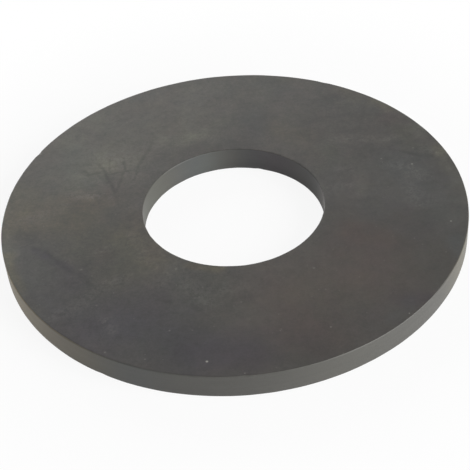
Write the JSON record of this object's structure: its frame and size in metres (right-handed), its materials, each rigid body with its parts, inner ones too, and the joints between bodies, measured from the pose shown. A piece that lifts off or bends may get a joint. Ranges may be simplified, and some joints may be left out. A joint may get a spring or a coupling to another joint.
{
  "type": "flush valve seal",
  "caption": "Flat rubber seal ring with a central hole and straight cut walls, which closes the outlet under a toilet cistern's flush valve.",
  "frame": {"origin": "centre of the ring on its underside, the sealing face that it lies on", "axes": "+Z along the ring's axis, up through the hole; X and Y lie in the underside, and the ring is the same all round"},
  "size_m": [0.064, 0.064, 0.0035],
  "materials": {
    "black_rubber": "dull dark grey rubber sheet, faintly mottled, with satin cut walls"
  },
  "bodies": {
    "root": {"seal_ring": "black_rubber"}
  },
  "joints": []
}
